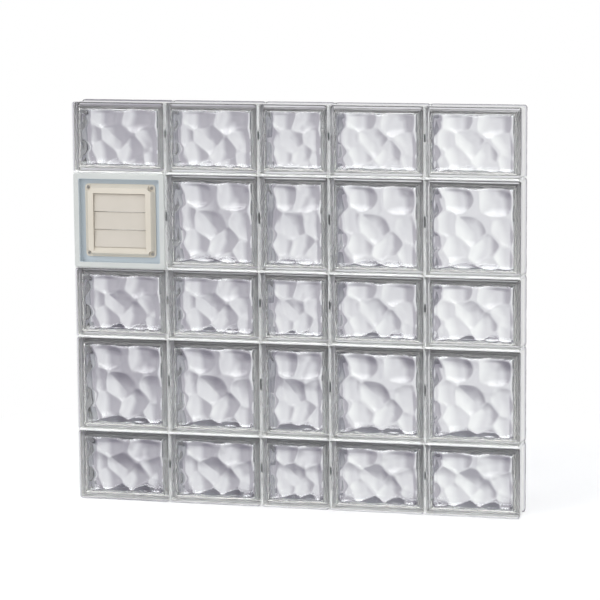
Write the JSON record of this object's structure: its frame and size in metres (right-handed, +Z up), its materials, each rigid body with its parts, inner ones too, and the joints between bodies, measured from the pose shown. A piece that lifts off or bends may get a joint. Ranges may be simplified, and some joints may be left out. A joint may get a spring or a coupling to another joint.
{
  "type": "glass block window",
  "caption": "Frameless panel of hollow wave-pattern glass blocks bonded with clear sealant, with a louvred dryer vent with hinged flaps in one block's place.",
  "frame": {"origin": "middle of the panel's underside, at half its depth", "axes": "+X along the wall to the right seen from outside, +Y from the outside to the room, +Z up"},
  "size_m": [0.9322, 0.0794, 0.8306],
  "materials": {
    "glass": "clear pressed glass, wave pattern on the inner faces",
    "sealant": "clear silicone sealant, tooled smooth",
    "housing": "fine satin moulded plastic",
    "cover": "almond moulded plastic, satin",
    "screw": "plated steel"
  },
  "bodies": {
    "window": {"glass_block_r1_c1": "glass", "glass_block_r1_c2": "glass", "glass_block_r1_c3": "glass", "glass_block_r1_c4": "glass", "glass_block_r1_c5": "glass", "glass_block_r2_c2": "glass", "glass_block_r2_c3": "glass", "glass_block_r2_c4": "glass", "glass_block_r2_c5": "glass", "glass_block_r3_c1": "glass", "glass_block_r3_c2": "glass", "glass_block_r3_c3": "glass", "glass_block_r3_c4": "glass", "glass_block_r3_c5": "glass", "glass_block_r4_c1": "glass", "glass_block_r4_c2": "glass", "glass_block_r4_c3": "glass", "glass_block_r4_c4": "glass", "glass_block_r4_c5": "glass", "glass_block_r5_c1": "glass", "glass_block_r5_c2": "glass", "glass_block_r5_c3": "glass", "glass_block_r5_c4": "glass", "glass_block_r5_c5": "glass", "vertical_joint_1": "sealant", "vertical_joint_2": "sealant", "vertical_joint_3": "sealant", "vertical_joint_4": "sealant", "bed_joint_1": "sealant", "bed_joint_2": "sealant", "bed_joint_3": "sealant", "bed_joint_4": "sealant", "vent_housing": "housing", "louvre_cover": "cover", "cover_screw_top_left": "screw", "cover_screw_top_right": "screw", "cover_screw_bottom_left": "screw", "cover_screw_bottom_right": "screw"},
    "flap_top": {"flap_top": "cover"},
    "flap_middle": {"flap_middle": "cover"},
    "flap_bottom": {"flap_bottom": "cover"}
  },
  "joints": [
    {"name": "flap_top_hinge", "type": "hinge", "parent": "window", "child": "flap_top", "pos_m": [-0.3683, -0.03019, 0.6403], "axis": [-1, 0, 0], "range_deg": [0, 75]},
    {"name": "flap_middle_hinge", "type": "hinge", "parent": "window", "child": "flap_middle", "pos_m": [-0.3683, -0.03019, 0.60335], "axis": [-1, 0, 0], "range_deg": [0, 75]},
    {"name": "flap_bottom_hinge", "type": "hinge", "parent": "window", "child": "flap_bottom", "pos_m": [-0.3683, -0.03019, 0.5664], "axis": [-1, 0, 0], "range_deg": [0, 75]}
  ]
}
